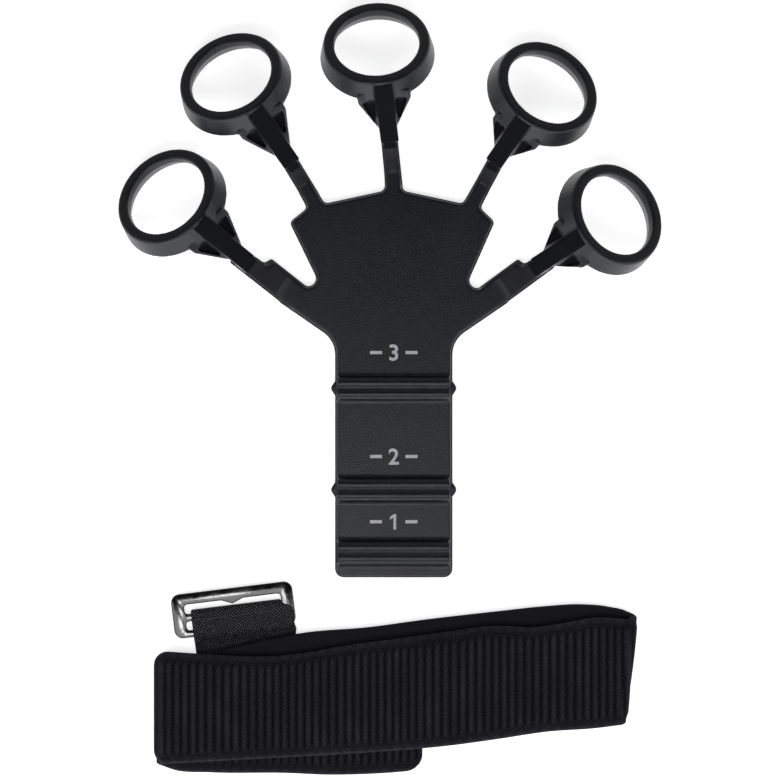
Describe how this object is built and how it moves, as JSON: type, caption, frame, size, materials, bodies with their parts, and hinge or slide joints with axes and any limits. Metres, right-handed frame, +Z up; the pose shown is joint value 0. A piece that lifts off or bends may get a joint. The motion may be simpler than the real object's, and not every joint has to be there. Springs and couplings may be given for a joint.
{
  "type": "finger exerciser",
  "caption": "Flat silicone hand exerciser with leaning finger loops on stems and a ridged tail, lying above its folded wrist strap with a slotted metal buckle.",
  "frame": {"origin": "bottom centre of the whole object's box, on the table that it lies on", "axes": "+X to the right of the tail seen from above, +Y from the strap along the tail towards the middle finger's loop, +Z up"},
  "size_m": [0.1618, 0.231, 0.0248],
  "materials": {
    "silicone": "moulded black silicone, matt with a faint sheen",
    "loop_band": "black ribbed loop-pile band",
    "hook_tape": "black hook tape",
    "webbing": "black woven nylon webbing",
    "buckle_enamel": "gloss black enamel"
  },
  "bodies": {
    "palm": {"palm_web": "silicone"},
    "thumb_stem": {"thumb_stem": "silicone"},
    "thumb_loop": {"thumb_loop": "silicone"},
    "index_stem": {"index_stem": "silicone"},
    "index_loop": {"index_loop": "silicone"},
    "middle_stem": {"middle_stem": "silicone"},
    "middle_loop": {"middle_loop": "silicone"},
    "ring_stem": {"ring_stem": "silicone"},
    "ring_loop": {"ring_loop": "silicone"},
    "little_stem": {"little_stem": "silicone"},
    "little_loop": {"little_loop": "silicone"},
    "tail_upper": {"tail_upper": "silicone"},
    "tail_middle": {"tail_middle": "silicone"},
    "tail_end": {"tail_end": "silicone"},
    "strap_under": {"under_layer": "loop_band"},
    "strap_back": {"back_layer": "loop_band", "tab_seam": "webbing"},
    "strap_front": {"front_layer": "loop_band", "hook_patch": "hook_tape"},
    "buckle_tab": {"webbing_loop": "webbing", "buckle": "buckle_enamel"}
  },
  "joints": [
    {"name": "thumb_stem_flex", "type": "hinge", "parent": "palm", "child": "thumb_stem", "pos_m": [-0.0301, 0.02935, 0.0018], "axis": [0.5853, 0.8108, 0], "range_deg": [0, 25], "stiffness_Nm_per_rad": 0.03},
    {"name": "thumb_loop_flex", "type": "hinge", "parent": "thumb_stem", "child": "thumb_loop", "pos_m": [-0.0441, 0.03946, 0.0094], "axis": [0.6268, 0.7792, 0], "range_deg": [0, 30], "stiffness_Nm_per_rad": 0.02},
    {"name": "index_stem_flex", "type": "hinge", "parent": "palm", "child": "index_stem", "pos_m": [-0.02553, 0.06099, 0.0018], "axis": [0.8523, 0.5231, 0], "range_deg": [0, 25], "stiffness_Nm_per_rad": 0.03},
    {"name": "index_loop_flex", "type": "hinge", "parent": "index_stem", "child": "index_loop", "pos_m": [-0.0306, 0.06926, 0.0094], "axis": [0.817, 0.5767, 0], "range_deg": [0, 30], "stiffness_Nm_per_rad": 0.02},
    {"name": "middle_stem_flex", "type": "hinge", "parent": "palm", "child": "middle_stem", "pos_m": [0.00088, 0.0643, 0.0018], "axis": [0.9947, 0.1031, 0], "range_deg": [0, 25], "stiffness_Nm_per_rad": 0.03},
    {"name": "middle_loop_flex", "type": "hinge", "parent": "middle_stem", "child": "middle_loop", "pos_m": [-0.00035, 0.07616, 0.0094], "axis": [0.9909, 0.1349, 0], "range_deg": [0, 30], "stiffness_Nm_per_rad": 0.02},
    {"name": "ring_stem_flex", "type": "hinge", "parent": "palm", "child": "ring_stem", "pos_m": [0.02763, 0.06105, 0.0018], "axis": [0.8766, -0.4813, 0], "range_deg": [0, 25], "stiffness_Nm_per_rad": 0.03},
    {"name": "ring_loop_flex", "type": "hinge", "parent": "ring_stem", "child": "ring_loop", "pos_m": [0.0322, 0.06936, 0.0094], "axis": [0.814, -0.5809, 0], "range_deg": [0, 30], "stiffness_Nm_per_rad": 0.02},
    {"name": "little_stem_flex", "type": "hinge", "parent": "palm", "child": "little_stem", "pos_m": [0.03233, 0.02929, 0.0018], "axis": [0.5574, -0.8303, 0], "range_deg": [0, 25], "stiffness_Nm_per_rad": 0.03},
    {"name": "little_loop_flex", "type": "hinge", "parent": "little_stem", "child": "little_loop", "pos_m": [0.0454, 0.03806, 0.0094], "axis": [0.5379, -0.843, 0], "range_deg": [0, 30], "stiffness_Nm_per_rad": 0.02},
    {"name": "tail_upper_flex", "type": "hinge", "parent": "palm", "child": "tail_upper", "pos_m": [0.0011, 0.00641, 0.0018], "axis": [-1, 0, 0], "range_deg": [0, 50], "stiffness_Nm_per_rad": 0.03},
    {"name": "tail_middle_flex", "type": "hinge", "parent": "tail_upper", "child": "tail_middle", "pos_m": [0.0011, -0.00964, 0.0018], "axis": [-1, 0, 0], "range_deg": [0, 60], "stiffness_Nm_per_rad": 0.03},
    {"name": "tail_end_flex", "type": "hinge", "parent": "tail_middle", "child": "tail_end", "pos_m": [0.0011, -0.03804, 0.0018], "axis": [-1, 0, 0], "range_deg": [0, 60], "stiffness_Nm_per_rad": 0.03},
    {"name": "strap_lift_off", "type": "slide", "parent": "palm", "child": "strap_under", "axis": [0, -1, 0], "range_m": [0, 0.1]},
    {"name": "left_fold", "type": "hinge", "parent": "strap_under", "child": "strap_back", "pos_m": [-0.07101, -0.0962, 0.00275], "axis": [0.0427, -0.9991, 0], "range_deg": [0, 150]},
    {"name": "right_fold", "type": "hinge", "parent": "strap_back", "child": "strap_front", "pos_m": [0.0737, -0.08303, 0.0063], "axis": [-0.0872, 0.9962, 0], "range_deg": [0, 150]},
    {"name": "tab_flex", "type": "hinge", "parent": "strap_back", "child": "buckle_tab", "pos_m": [-0.04591, -0.07398, 0.0013], "axis": [0.9925, 0.1219, 0], "range_deg": [0, 50], "stiffness_Nm_per_rad": 0.004}
  ]
}
